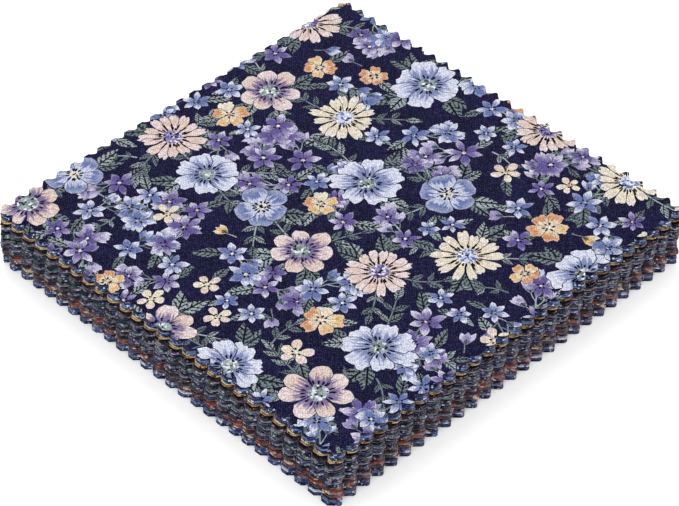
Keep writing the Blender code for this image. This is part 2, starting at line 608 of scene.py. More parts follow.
def fraying_tree():
    """Sets short threads on the cut edge."""
    inputs = {"Density": "Float", "Seed": "Int", "Thread": "Material"}
    tree, given, result = new_tree("fray the cut edge", inputs)
    scatter = {"Mesh": given["Geometry"], "Density": given["Density"], "Seed": given["Seed"]}
    scatter["Selection"] = reckon(tree, "GREATER_THAN", attribute(tree, "wall"), 0.5)
    roots = add(tree, "GeometryNodeDistributePointsOnFaces", scatter)
    least = (-MOST_LEAN, -MOST_LEAN, -ANY_WAY_ROUND)
    most = (MOST_LEAN, MOST_LEAN, ANY_WAY_ROUND)
    spin = random_between(tree, least, most, "FLOAT_VECTOR", Seed=given["Seed"])
    facing = {"Rotation": roots["Rotation"], "Rotate By": spin}
    setting = {"Points": roots["Points"], "Instance": one_thread(tree)}
    setting["Rotation"] = add(tree, "FunctionNodeRotateRotation", facing, rotation_space="LOCAL")[0]
    setting["Scale"] = random_between(tree, *THREAD_SIZES, Seed=given["Seed"])
    threads = add(tree, "GeometryNodeInstanceOnPoints", setting)[0]
    storing = {"Geometry": threads, "Name": "thread"}
    storing["Value"] = random_between(tree, *SHADES, ID=SHADES_ID)
    named = add(tree, "GeometryNodeStoreNamedAttribute", storing, domain="INSTANCE")[0]
    both = tree.nodes.new("GeometryNodeJoinGeometry")
    tree.links.new(named, both.inputs[0])
    tree.links.new(given["Geometry"], both.inputs[0])
    whole = add(tree, "GeometryNodeRealizeInstances", {0: both.outputs[0]})[0]
    is_thread = reckon(tree, "GREATER_THAN", attribute(tree, "thread"), SHADES[0] / 2)
    wearing = {"Geometry": whole, "Selection": is_thread, "Material": given["Thread"]}
    tree.links.new(add(tree, "GeometryNodeSetMaterial", wearing)[0], result[0])
    return tree


FRAYING = fraying_tree()
print("Nodes in the fraying tree:", len(FRAYING.nodes))

# %% [markdown]
# ## Cotton
# Quilting cotton is a plain weave of about 24 threads a centimetre, matt, with a faint sheen from
# its short fibres. The weave follows the cloth's own UV map, in millimetres, so it turns with the
# square. Its light and shade are painted into the colour as well: threads are paler where they rise
# and darker where they dip under, and the raised threads get pale specks and a painted sheen. Ink
# covers the face, and the cut edge also shows the paler raw ends of the threads.

# %% Helpers for shading
def shade(tree, share, first, second, blend="MIX"):
    """One colour laid over another by a share."""
    inputs = {0: share, 6: first, 7: second}
    return add(tree, "ShaderNodeMix", inputs, data_type="RGBA", blend_type=blend)[2]


def step(tree, value, low, high):
    """0 below low, 1 above high, and a soft step between, or the other way about."""
    inputs = {0: value, 1: low, 2: high}
    return add(tree, "ShaderNodeMapRange", inputs, interpolation_type="SMOOTHSTEP")[0]


def stored(tree, name):
    """A named attribute as a shader reads it."""
    return add(tree, "ShaderNodeAttribute", attribute_name=name)


def bolt_place(tree):
    """Where on its bolt a point lies, in millimetres."""
    return add(tree, "ShaderNodeUVMap", uv_map="bolt")[0]


# %% Weave the cotton
# Lengths are in millimetres of cloth, and scales of noise count its waves in one
THREAD_PITCH = 0.42
THREAD_WANDER = 1.6
WANDER_SCALE = 0.45
COTTON_LOOK = {"Roughness": 0.85, "Specular IOR Level": 0.04}
SHEEN_LOOK = {"Sheen Weight": 0.03, "Sheen Roughness": 0.5}
# Pale specks of undyed fibre and a painted sheen on the raised threads, as one colour
PALE_SPECK_AND_SHEEN = (0.20, 0.19, 0.31, 1.0)
SPECK_AND_SHEEN_AMOUNT = 0.13
SPECK_AND_SHEEN_STEP = (3.05, 4.15)
ALONG_WARP = (2.6, 0.7, 1.0)
ALONG_WEFT = (0.7, 2.6, 1.0)
# Painted light and shade of the weave: threads paler where they rise, darker where they dip under
WEAVE_RELIEF_SHADE = 0.24
UNEVEN_TONE = 1.1
UNEVEN_PROUD = 3.0
WEAVE_BUMP = 0.35
WEAVE_DEPTH = 0.04


def weave_height(tree):
    """The over and under of a plain weave, from -1 to 1, with threads that wander a little."""
    turns = math.pi / THREAD_PITCH
    wander = noise(tree, bolt_place(tree), WANDER_SCALE)["Color"]
    most = (THREAD_WANDER, THREAD_WANDER, 0.0)
    place = on_vectors(tree, "MULTIPLY_ADD", wander, most, bolt_place(tree))
    waves = on_vectors(tree, "SINE", on_vectors(tree, "SCALE", place, scale=turns))
    ways = apart(tree, waves)
    return reckon(tree, "MULTIPLY", ways["X"], ways["Y"])


def cotton(name):
    """A cotton finish, its tree and its surface, ready for a colour."""
    return new_finish(name, COTTON_LOOK | SHEEN_LOOK)


def thread_tone(tree, stretch):
    """Threads of uneven tone that run one way."""
    return noise(tree, on_vectors(tree, "MULTIPLY", bolt_place(tree), stretch), 1.0, 1.0)[0]


def weave_in(tree, surface, colour, specks_and_sheen):
    """Weaves a colour: uneven threads, painted light and shade, pale specks and painted sheen, a bump."""
    height = weave_height(tree)
    threads = reckon(tree, "ADD", thread_tone(tree, ALONG_WARP), thread_tone(tree, ALONG_WEFT))
    uneven = reckon(tree, "MULTIPLY_ADD", threads, UNEVEN_TONE, 1.0 - UNEVEN_TONE)
    # The weave's height paints light on the raised threads and shade where they dip under
    tone = reckon(tree, "MULTIPLY", reckon(tree, "MULTIPLY_ADD", height, WEAVE_RELIEF_SHADE, 1.0), uneven)
    grey = add(tree, "ShaderNodeCombineColor", {0: tone, 1: tone, 2: tone})[0]
    woven = shade(tree, 1.0, colour, grey, "MULTIPLY")
    # Paler colour where a thread stands proud: partly undyed fibre, partly painted sheen
    proud = reckon(tree, "MULTIPLY_ADD", threads, UNEVEN_PROUD, height)
    speck_and_sheen_mask = reckon(tree, "MULTIPLY", step(tree, proud, *SPECK_AND_SHEEN_STEP), specks_and_sheen)
    tree.links.new(shade(tree, speck_and_sheen_mask, woven, PALE_SPECK_AND_SHEEN), surface.inputs["Base Color"])
    relief = {"Height": height, "Strength": WEAVE_BUMP, "Distance": WEAVE_DEPTH * MM}
    tree.links.new(add(tree, "ShaderNodeBump", relief)[0], surface.inputs["Normal"])


print("Threads a centimetre:", round(10 / THREAD_PITCH))

# %% Wear the cut edge
RAW_THREAD = (0.27, 0.25, 0.28, 1.0)
FRAY_SCALE = 1.1
FRAY_DETAIL = 4.0
FRAY_STEP = (0.55, 0.72)
FRAYED = 0.22
# The outer part of each tooth is painted paler: partly frayed raw thread, partly painted highlight
WORN_AND_HIGHLIT_STEP = (0.55, 0.82)
WORN_AND_HIGHLIT = 0.3


def cut_edge(tree, colour):
    """Lets raw thread show on the cut edge, and pales the tips, as frayed thread and as painted highlight.
    """
    fray = noise(tree, bolt_place(tree), FRAY_SCALE, FRAY_DETAIL)[0]
    # Paler tips of the teeth, as frayed thread and as painted highlight
    worn = reckon(tree, "MULTIPLY", step(tree, stored(tree, "tip")["Fac"], *WORN_AND_HIGHLIT_STEP), WORN_AND_HIGHLIT)
    share = reckon(tree, "MULTIPLY_ADD", step(tree, fray, *FRAY_STEP), FRAYED, worn)
    share = reckon(tree, "MULTIPLY", share, stored(tree, "wall")["Fac"], clamp=True)
    return shade(tree, share, colour, RAW_THREAD)


def over_weave(name, paint, specks_and_sheen=0.0):
    """A cotton printed with what paint makes of its tree."""
    finish, tree, surface = cotton(name)
    weave_in(tree, surface, cut_edge(tree, paint(tree)), specks_and_sheen)
    return finish


# The raw thread counted here includes the painted highlight on the tips
print("Most raw thread on the cut edge:", round(FRAYED + WORN_AND_HIGHLIT, 2))

# %% [markdown]
# ## The prints down the edge
# Only the edges of the lower squares show, and each is a thin line that takes its colour from the
# print it cuts through: navy and blue gardens under the top one, then gold and russet, a long
# middle of dark and grey prints with a little plum, green and brown, then russet, rust and gold,
# and blue again at the base. So each print is a ground with two scattered figures, soft blots of
# the right size, which a cut shows as dashes of colour.

# %% List the prints
# Columns: ground, large figure, small figure, size of the large figures in millimetres, how much
# of the cloth the large figures cover, and the small ones
Print = namedtuple("Print", "ground large small size large_share small_share")

PRINTS = {
    "navy_garden": Print((0.010, 0.014, 0.050), (0.045, 0.078, 0.195), (0.40, 0.45, 0.60), 5.0, 0.44, 0.14),
    "blue_bells": Print((0.016, 0.030, 0.095), (0.13, 0.195, 0.37), (0.62, 0.65, 0.76), 5.0, 0.44, 0.18),
    "gold_vine": Print((0.66, 0.48, 0.22), (0.78, 0.64, 0.40), (0.36, 0.10, 0.05), 9.0, 0.40, 0.18),
    "old_gold": Print((0.24, 0.15, 0.075), (0.48, 0.36, 0.20), (0.05, 0.03, 0.03), 8.0, 0.48, 0.28),
    "umber_leaf": Print((0.046, 0.033, 0.035), (0.15, 0.080, 0.050), (0.42, 0.29, 0.18), 6.0, 0.40, 0.16),
    "russet": Print((0.048, 0.040, 0.052), (0.25, 0.062, 0.045), (0.48, 0.39, 0.31), 8.0, 0.42, 0.22),
    "rust": Print((0.060, 0.038, 0.040), (0.26, 0.072, 0.058), (0.56, 0.42, 0.30), 8.0, 0.40, 0.26),
    "black_vine": Print((0.004, 0.004, 0.007), (0.022, 0.020, 0.022), (0.24, 0.19, 0.14), 4.5, 0.35, 0.12),
    "slate": Print((0.165, 0.175, 0.235), (0.040, 0.043, 0.062), (0.46, 0.46, 0.58), 5.0, 0.42, 0.16),
    "mist": Print((0.23, 0.235, 0.31), (0.06, 0.065, 0.10), (0.05, 0.05, 0.07), 4.5, 0.40, 0.16),
    "plum": Print((0.018, 0.009, 0.022), (0.078, 0.038, 0.088), (0.30, 0.25, 0.34), 5.0, 0.38, 0.16),
    "bottle": Print((0.012, 0.026, 0.026), (0.040, 0.090, 0.082), (0.30, 0.36, 0.36), 5.0, 0.40, 0.26),
    "ink": Print((0.006, 0.006, 0.024), (0.032, 0.040, 0.115), (0.24, 0.26, 0.40), 5.0, 0.42, 0.18),
    "lavender": Print((0.14, 0.15, 0.23), (0.58, 0.58, 0.68), (0.03, 0.05, 0.17), 5.5, 0.42, 0.32),
}

# The prints from the bottom square to the one under the top square
BASE = ["ink", "navy_garden", "blue_bells", "lavender", "navy_garden", "umber_leaf", "old_gold"]
LOW = ["rust", "rust", "slate", "russet", "russet", "black_vine", "umber_leaf", "plum", "ink"]
MIDDLE = ["bottle", "slate", "umber_leaf", "ink", "mist", "black_vine", "plum", "slate", "bottle"]
UPPER = ["ink", "mist", "black_vine", "slate", "umber_leaf", "plum", "black_vine", "russet"]
COVER = ["old_gold", "gold_vine", "black_vine", "navy_garden", "blue_bells", "navy_garden"]
COVER += ["blue_bells", "ink"]
ORDER = BASE + LOW + MIDDLE + UPPER + COVER
SQUARES = len(ORDER) + 1
print("Squares in the pack:", SQUARES)

# %% Dye the lower squares
# Sizes of the blots, as shares of a print's figure size, and how far along the bolt the small
# ones are drawn from, so that they don't follow the large ones
LARGE_BLOT = 0.55
SMALL_BLOT = 0.25
SMALL_AWAY = 31.0
BLOT_EDGE = 0.012
NOISE_SPREAD = 0.34
DARK_THREAD = (0.008, 0.008, 0.03, 1.0)
GREY_THREAD = (0.10, 0.10, 0.14, 1.0)
PALE_THREAD = (0.42, 0.40, 0.48, 1.0)
TO_GREY = (0.1, 0.7)
TO_PALE = (0.7, 1.0)


def blots(tree, size, share, away):
    """Scattered figures that cover about a share of the cloth."""
    place = on_vectors(tree, "ADD", bolt_place(tree), (away, away, 0.0))
    level = 0.5 + (0.5 - share) * NOISE_SPREAD
    return step(tree, noise(tree, place, 1 / size)[0], level - BLOT_EDGE, level + BLOT_EDGE)


def solid(colour):
    return (*colour, 1.0)


def printed_cotton(name, look):
    """A cotton with a ground and two sizes of figures."""

    def paint(tree):
        large = blots(tree, look.size * LARGE_BLOT, look.large_share, 0.0)
        small = blots(tree, look.size * SMALL_BLOT, look.small_share, SMALL_AWAY)
        colour = shade(tree, large, solid(look.ground), solid(look.large))
        return shade(tree, small, colour, solid(look.small))

    return over_weave(name, paint, SPECK_AND_SHEEN_AMOUNT)


def thread_cotton():
    """Cut threads, from dark dyed ones to pale raw ones."""
    finish, tree, surface = cotton("cut_threads")
    draw = stored(tree, "thread")["Fac"]
    dark = shade(tree, step(tree, draw, *TO_GREY), DARK_THREAD, GREY_THREAD)
    colour = shade(tree, step(tree, draw, *TO_PALE), dark, PALE_THREAD)
    tree.links.new(colour, surface.inputs["Base Color"])
    return finish


COTTONS = {name: printed_cotton(name, look) for name, look in PRINTS.items()}
THREADS = thread_cotton()
print("Printed cottons:", len(COTTONS))

# %% [markdown]
# ## The printed top square
# The top print is a dark navy garden of daisies, anemones and blossoms among small lilac and blue
# flowers and sage leaves. The flowers are ordinary ones, drawn here by rule, and their places are
# drawn at random, so the layout is this script's own. Every petal is a polygon. They are laid down
# from the lowest to the highest as a screen printer lays inks, and one triangulation then cuts
# the cloth along all their outlines.

# %% Describe a printed figure
# outline: its points. ink: the finish it is printed in. tint and accent: its two colours.
# base, way, reach, width: its own directions, which its streaks and veins follow.
# draw: its own random number, so that no two figures have the same streaks.
Figure = namedtuple("Figure", "outline ink tint accent base way reach width draw")

# Half outlines, from the base to the tip, as (share of the length, share of the half width)
FORMS = {
    "daisy": (
        (0.0, 0.40), (0.35, 0.62), (0.62, 0.94), (0.8, 1.0), (0.93, 0.82), (1.0, 0.44), (0.93, 0.0)
    ),
    "round": (
        (0.0, 0.16), (0.2, 0.46), (0.42, 0.84), (0.64, 1.0), (0.84, 0.86), (0.97, 0.48), (0.98, 0.0)
    ),
    "ruffled": (
        (0.0, 0.16), (0.2, 0.44), (0.4, 0.84), (0.58, 1.0), (0.72, 0.9), (0.86, 0.92),
        (0.97, 0.56), (0.9, 0.2), (0.94, 0.0)
    ),
    "pointed": ((0.0, 0.16), (0.3, 0.70), (0.55, 1.0), (0.78, 0.70), (1.0, 0.0)),
    "bell": (
        (0.0, 0.30), (0.35, 0.74), (0.7, 1.0), (0.98, 0.82), (0.86, 0.5), (1.0, 0.2), (0.9, 0.0)
    ),
    "leaf": (
        (0.0, 0.04), (0.14, 0.50), (0.34, 0.96), (0.5, 1.0), (0.7, 0.74), (0.88, 0.34), (1.0, 0.0)
    ),
    "stroke": ((0.0, 0.5), (0.6, 1.0), (1.0, 0.0)),
}
UNEVEN = 0.08
DISC_POINTS = 12
DISC_UNEVEN = (0.84, 1.12)
MOST_DRAW = 40


def polar(centre, angle, distance):
    return (centre[0] + math.cos(angle) * distance, centre[1] + math.sin(angle) * distance)


def figure(form, base, angle, reach, width, ink, tint, accent, draws, bend=0.0, grow=0.0):
    """One figure from its base, at an angle. bend curves it, and grow widens it all round."""
    way = (math.cos(angle), math.sin(angle))
    side = (-way[1], way[0])
    half = FORMS[form]
    rows = half + tuple((along, -out) for along, out in half[::-1] if out)
    outline = []
    for along, out in rows:
        on = along * reach * draws.uniform(1 - UNEVEN / 2, 1 + UNEVEN / 2)
        on += grow * (2 * along - 1)
        off = out * (width / 2) * draws.uniform(1 - UNEVEN, 1 + UNEVEN)
        off += math.copysign(grow, out) * bool(out) + bend * reach * along * along
        x = base[0] + way[0] * on + side[0] * off
        outline.append((x, base[1] + way[1] * on + side[1] * off))
    draw = draws.random() * MOST_DRAW
    return Figure(outline, ink, tint, accent, base, way, reach, width / 2, draw)


def disc(centre, radius, ink, tint, accent, draws):
    """A slightly uneven round spot."""
    outline = []
    for number in range(DISC_POINTS):
        angle = 2 * math.pi * number / DISC_POINTS
        outline.append(polar(centre, angle, radius * draws.uniform(*DISC_UNEVEN)))
    draw = draws.random() * MOST_DRAW
    return Figure(outline, ink, tint, accent, centre, (1.0, 0.0), radius, radius, draw)


print("Petal and leaf forms:", ", ".join(FORMS))

# %% Choose the colours of the inks
# As linear red, green and blue
NAVY = (0.0030, 0.0027, 0.023)
INK = (0.004, 0.004, 0.012)
PEACH = (0.575, 0.435, 0.375)
PALE_PEACH = (0.61, 0.485, 0.47)
CREAM = (0.62, 0.55, 0.445)
PALE_BLUE = (0.515, 0.535, 0.655)
MID_BLUE = (0.110, 0.145, 0.32)
SAGE = (0.142, 0.182, 0.195)
PALE_SAGE = (0.28, 0.335, 0.345)
VIOLET = (0.100, 0.076, 0.235)
LILAC = (0.245, 0.210, 0.385)
PALE_LILAC = (0.46, 0.43, 0.57)
ORANGE = (0.48, 0.200, 0.065)
GOLD = (0.57, 0.355, 0.14)
print("Ground of the print:", NAVY)

# %% Describe the flowers
# diameter: smallest and largest. width: of a petal, as a share of the flower's radius.
# uneven: how much petals differ. inner: where they start, as a share of the radius.
# eye: the eye's share of the radius. ticks: short dark strokes round it. line: how wide the dark
# outline is. eye_ink: the eye's tint and accent. edge: the ink of the outline.
Flower = namedtuple(
    "Flower", "diameter petals form width uneven inner eye ticks line tints accent eye_ink edge"
)

FLOWERS = {
    "peach_daisy": Flower(
        (18, 20), 15, "daisy", 0.30, 0.20, 0.10, 0.28, 18, 0.18,
        (PEACH, PALE_PEACH), PALE_PEACH, (LILAC, VIOLET), INK
    ),
    "cream_daisy": Flower(
        (17, 19), 14, "daisy", 0.31, 0.20, 0.10, 0.29, 17, 0.18,
        (CREAM,), CREAM, (PALE_BLUE, MID_BLUE), INK
    ),
    "anemone": Flower(
        (18, 21), 7, "ruffled", 0.68, 0.18, 0.06, 0.24, 14, 0.22,
        (PALE_BLUE,), MID_BLUE, (PALE_SAGE, SAGE), NAVY
    ),
    "blue_anemone": Flower(
        (15, 18), 5, "round", 0.90, 0.12, 0.05, 0.17, 12, 0.18,
        (MID_BLUE,), PALE_BLUE, (CREAM, INK), NAVY
    ),
    "blossom": Flower(
        (17.5, 20.5), 7, "round", 0.60, 0.14, 0.10, 0.30, 16, 0.17,
        (PEACH, PALE_PEACH), VIOLET, (PALE_SAGE, SAGE), NAVY
    ),
    "orange": Flower(
        (9, 12.5), 5, "ruffled", 0.78, 0.2, 0.04, 0.13, 6, 0.14,
        (ORANGE, ORANGE, GOLD, GOLD, CREAM), CREAM, (CREAM, ORANGE), INK
    ),
    "cream_small": Flower(
        (7.5, 10), 5, "round", 0.58, 0.18, 0.06, 0.15, 5, 0.09,
        (PEACH, PALE_PEACH, CREAM), CREAM, (CREAM, ORANGE), NAVY
    ),
    "lilac": Flower(
        (8, 11), 6, "pointed", 0.46, 0.2, 0.04, 0.10, 4, 0.08,
        (LILAC, PALE_LILAC, VIOLET), VIOLET, (CREAM, VIOLET), NAVY
    ),
    "blue_star": Flower(
        (7.5, 10.5), 6, "pointed", 0.48, 0.2, 0.04, 0.10, 4, 0.08,
        (PALE_BLUE, PALE_BLUE, MID_BLUE), MID_BLUE, (CREAM, MID_BLUE), NAVY
    ),
}
print("Flower kinds:", len(FLOWERS))

# %% Draw a flower
# Turns are shares of the step from one petal or tick to the next, starts and reaches are shares
# of a radius, and widths are in millimetres
LONGEST_PETAL = 1.04
PETAL_TURN = 0.14
PETAL_BEND = 0.1
TICK_TURN = 0.3
TICK_START = 1.05
TICK_REACH = (0.12, 0.21)
TICK_WIDTH = 0.66
CLEFT_START = 0.34
CLEFT_REACH = (0.16, 0.36)
CLEFT_WIDTH = 0.55


def stroke(centre, angle, start, reach, width, draws):
    """A short dark stroke that points out from a flower's middle."""
    base = polar(centre, angle, start)
    return figure("stroke", base, angle, reach, width, "ink", INK, INK, draws)


def bloom(kind, centre, radius, draws):
    """All the figures of one flower, in printing order."""
    look = FLOWERS[kind]
    turn = draws.uniform(0, 2 * math.pi)
    made = []
    for number in range(look.petals):
        aside = draws.uniform(-PETAL_TURN, PETAL_TURN)
        angle = turn + 2 * math.pi * (number + aside) / look.petals
        base = polar(centre, angle, look.inner * radius)
        reach = radius * (1 - look.inner) * draws.uniform(1 - look.uneven, LONGEST_PETAL)
        width = look.width * radius * draws.uniform(1 - look.uneven, 1 + look.uneven / 2)
        bend = draws.uniform(-PETAL_BEND, PETAL_BEND)
        tint = draws.choice(look.tints)
        shape = (look.form, base, angle, reach, width)
        # The dark rim and the petal take the same draws, so that one outline follows the other
        held = draws.random()
        rim = random.Random(held)
        made.append(figure(*shape, "ink", look.edge, INK, rim, bend, look.line))
        rim = random.Random(held)
        made.append(figure(*shape, "petal", tint, look.accent, rim, bend))
    if look.form == "daisy":
        for number in range(look.petals):
            angle = turn + 2 * math.pi * (number + 0.5) / look.petals
            reach = radius * draws.uniform(*CLEFT_REACH)
            made.append(stroke(centre, angle, radius * CLEFT_START, reach, CLEFT_WIDTH, draws))
    for number in range(look.ticks):
        angle = 2 * math.pi * (number + draws.uniform(-TICK_TURN, TICK_TURN)) / look.ticks
        reach = radius * draws.uniform(*TICK_REACH)
        start = look.eye * radius * TICK_START
        made.append(stroke(centre, angle, start, reach, TICK_WIDTH, draws))
    made.append(disc(centre, look.eye * radius, "eye", *look.eye_ink, draws))
    return made


daisy = bloom("peach_daisy", (0, 0), 9.0, random.Random(1))
print("A daisy is drawn with", len(daisy), "figures")

# %% Describe leaves and stems
# Lengths and widths of stems are in millimetres and turns in radians. Widths of leaves are shares
# of their length.
GROWTH = (0.85, 1.1)
SLIM_LEAF = 0.42
BROAD_LEAF = 0.5
LEAF_BEND = 0.18
STEM_STEP = 1.8
FEWEST_STEPS = 4
STEM_TAPER = 0.6


def leaf(base, angle, reach, draws, shape=SLIM_LEAF):
    """A sage leaf."""
    width = reach * shape * draws.uniform(*GROWTH)
    tint = draws.choice((SAGE, SAGE, PALE_SAGE))
    bend = draws.uniform(-LEAF_BEND, LEAF_BEND)
    return [figure("leaf", base, angle, reach, width, "leaf", tint, INK, draws, bend)]


def stem(start, angle, length, bend, width, draws):
    """A thin curved stem, and its points as (place, angle)."""
    rows = []
    place = start
    count = max(FEWEST_STEPS, int(length / STEM_STEP))
    for number in range(count + 1):
        rows.append((place, angle, mix(width, width * STEM_TAPER, number / count)))
        place = polar(place, angle, length / count)
        angle += bend / count
    left = [polar(spot, way + math.pi / 2, wide / 2) for spot, way, wide in rows]
    right = [polar(spot, way - math.pi / 2, wide / 2) for spot, way, wide in rows]
    tint = draws.choice((SAGE, PALE_SAGE))
    drawn = Figure(left + right[::-1], "ink", tint, INK, start, (1.0, 0.0), length, width, 0.0)
    return drawn, [(spot, way) for spot, way, wide in rows]


drawn, rows = stem((0, 0), 0.0, 12.0, 0.0, 0.5, random.Random(1))
print("Points along a stem of 12 mm:", len(rows))

# %% Describe buds, sprigs and sprays
# Columns of the cups and the fold: length and width, as shares of the bud's or bell's length
BUD_SPREAD = 0.42
BUD_PETAL_WIDTH = 0.44
BUD_CUP = (0.42, 0.36)
BELL_WIDTH = 0.82
BELL_FOLD = (0.9, 0.3)
BELL_CUP = (0.36, 0.42)
FOLD_TURN = 0.1
SPRIG_STEM = 0.5
SPRIG_BEND = 0.7
SPRIG_LEAVES = (0.36, 0.5)
SPRIG_END = 0.5
SPRIG_TURNS = (0.6, 0.95)
SPRAY_STEM = 0.55
SPRAY_BEND = 0.9
TWIG_STEM = 0.36
TWIG_SHARE = 0.3
TWIG_BEND = 0.4
TWIG_TURNS = (0.6, 1.0)
BUD_REACH = (3.6, 5.2)


def pointed(base, angle, reach, size, ink, tint, accent, draws):
    """A pointed petal or cup, its length and width given as shares of a reach."""
    length, width = size
    return figure("pointed", base, angle, reach * length, reach * width, ink, tint, accent, draws)


def bud(base, angle, reach, tints, draws):
    """A half open bud: three petals out of a small green cup."""
    made = []
    for turn in (-BUD_SPREAD, BUD_SPREAD, 0.0):
        tint = draws.choice(tints)
        size = (draws.uniform(*GROWTH), BUD_PETAL_WIDTH)
        made.append(pointed(base, angle + turn, reach, size, "petal", tint, tints[-1], draws))
    made.append(pointed(base, angle, reach, BUD_CUP, "leaf", SAGE, INK, draws))
    return made


def hanging_bell(base, angle, reach, tints, draws):
    """A bell flower seen from the side."""
    outer, inner = tints[0], tints[-1]
    bell = figure("bell", base, angle, reach, reach * BELL_WIDTH, "petal", outer, inner, draws)
    fold = pointed(base, angle - FOLD_TURN, reach, BELL_FOLD, "petal", inner, outer, draws)
    return [bell, fold, pointed(base, angle, reach, BELL_CUP, "leaf", SAGE, INK, draws)]


def sprig(base, angle, length, draws):
    """A stem with leaves in pairs and one at its end."""
    bend = draws.uniform(-SPRIG_BEND, SPRIG_BEND)
    drawn, rows = stem(base, angle, length, bend, SPRIG_STEM, draws)
    made = [drawn]
    for place, way in rows[1:-1:2]:
        for side in (-1, 1):
            size = length * draws.uniform(*SPRIG_LEAVES)
            made += leaf(place, way + side * draws.uniform(*SPRIG_TURNS), size, draws)
    return made + leaf(*rows[-1], length * SPRIG_END, draws)


def spray(base, angle, length, kind, tints, draws):
    """A branching stem with buds or bells on its twigs and a flower at its end."""
    bend = draws.uniform(-SPRAY_BEND, SPRAY_BEND)
    drawn, rows = stem(base, angle, length, bend, SPRAY_STEM, draws)
    made = [drawn]
    heads = []
    head = draws.choice((bud, bud, hanging_bell))
    for number, (place, way) in enumerate(rows[1:-1]):
        side = -1 if number % 2 else 1
        out = way + side * draws.uniform(*TWIG_TURNS)
        twig, ends = stem(place, out, length * TWIG_SHARE, -side * TWIG_BEND, TWIG_STEM, draws)
        made.append(twig)
        heads += head(*ends[-1], draws.uniform(*BUD_REACH), tints, draws)
    flower = FLOWERS[kind]
    return made + heads + bloom(kind, rows[-1][0], draws.uniform(*flower.diameter) / 2, draws)


print("A sprig is drawn with", len(sprig((0, 0), 0.0, 12.0, random.Random(1))), "figures")

# %% [markdown]
# ## The layout of the print
# Large flowers are placed first, each at the first random place that leaves room for it and keeps
# its own kind apart. Smaller ones come next, and leaves and sprays grow out from behind them. What
# is still bare then gets small sprigs, buds and stars. The print runs on past the cut, as it does
# on cloth cut from a bolt.

# %% Place the flowers
PRINT_SEED = 7
PRINT_HALF = 68.0
PLACE_TRIES = 600
LARGE_RADIUS = 7

# Columns: kind, how many, how near a neighbour may come (1 is touching), how far its own kind keeps
PLACINGS = (
    ("blossom", 5, 0.98, 44.0),
    ("peach_daisy", 4, 0.94, 46.0),
    ("cream_daisy", 3, 0.94, 46.0),
    ("anemone", 6, 0.90, 34.0),
    ("blue_anemone", 3, 0.90, 44.0),
    ("orange", 11, 0.88, 14.0),
    ("cream_small", 6, 0.9, 24.0),
    ("lilac", 28, 0.9, 9.0),
    ("blue_star", 26, 0.9, 9.0),
)

Placed = namedtuple("Placed", "kind centre radius")


def any_spot(draws):
    """A random place on the printed cloth."""
    return (draws.uniform(-PRINT_HALF, PRINT_HALF), draws.uniform(-PRINT_HALF, PRINT_HALF))


def find_room(kind, radius, nearness, away, placed, draws):
    """A free place for a flower, or None where there is no room left."""
    for attempt in range(PLACE_TRIES):
        spot = any_spot(draws)
        clear = True
        for other in placed:
            distance = math.dist(spot, other.centre)
            if distance < (radius + other.radius) * nearness:
                clear = False
            if other.kind == kind and distance < away:
                clear = False
        if clear:
            return spot
    return None


def place_flowers(draws):
    """All the flowers that find room, the large kinds first."""
    placed = []
    for kind, count, nearness, away in PLACINGS:
        for number in range(count):
            radius = draws.uniform(*FLOWERS[kind].diameter) / 2
            spot = find_room(kind, radius, nearness, away, placed, draws)
            if spot:
                placed.append(Placed(kind, spot, radius))
    return placed


print("Flowers asked for:", sum(row[1] for row in PLACINGS))

# %% Grow the greenery
SPRAY_TINTS = {"lilac": (PALE_LILAC, LILAC), "blue_star": (PALE_BLUE, MID_BLUE)}

# Roots as shares of the flower's radius, turns in radians, and smallest and largest lengths
SHOOT_ROOT = 0.72
SHOOT_ASIDE = 0.4
SHOOT_LENGTHS = (8.5, 11.5)
BROAD_LENGTHS = (7, 9.5)
BROAD_TURN = 0.35
LEAF_ROOT = 0.5
LEAF_LENGTHS = (6, 8.5)
SPRAY_LENGTHS = (8, 12)
SPRAY_TURN = 2.4


def greenery(flower, draws):
    """What grows out from behind one flower."""
    made = []
    turn = draws.uniform(0, 2 * math.pi)
    if flower.radius > LARGE_RADIUS:
        for quarter in range(4):
            angle = turn + quarter * math.pi / 2 + draws.uniform(-SHOOT_ASIDE, SHOOT_ASIDE)
            base = polar(flower.centre, angle, flower.radius * SHOOT_ROOT)
            if draws.random() < 0.5:
                made += sprig(base, angle, draws.uniform(*SHOOT_LENGTHS), draws)
            else:
                for side in (-BROAD_TURN, BROAD_TURN):
                    made += leaf(base, angle + side, draws.uniform(*BROAD_LENGTHS), draws, BROAD_LEAF)
    else:
        base = polar(flower.centre, turn, flower.radius * LEAF_ROOT)
        made += leaf(base, turn, draws.uniform(*LEAF_LENGTHS), draws)
        if flower.kind in SPRAY_TINTS:
            length = draws.uniform(*SPRAY_LENGTHS)
            tints = SPRAY_TINTS[flower.kind]
            made += spray(flower.centre, turn + SPRAY_TURN, length, flower.kind, tints, draws)
    return made


print("Sprays grow from these kinds:", ", ".join(SPRAY_TINTS))

# %% Fill the gaps
BUD_TINTS = ((PALE_LILAC, LILAC), (PALE_BLUE, MID_BLUE), (CREAM, GOLD))
SMALLEST_GAP = 2.35
FILL_TRIES = 5000

# What fills a gap, in millimetres and radians. Columns of the stem: length, bend, width
FILLER_ROOT = -3.0
FILLER_SPRIG = (6.5, 9)
FILLER_STEM = (3.0, 0.3, 0.4)
FILLER_BUD = 4.4
FILLER_FLOWER = (3.4, 4.4)
FILLER_STAR = (3.4, 4.8)
STAR_LEAVES = (6.0, 5.5)
STAR_LEAF_TURN = 2.2


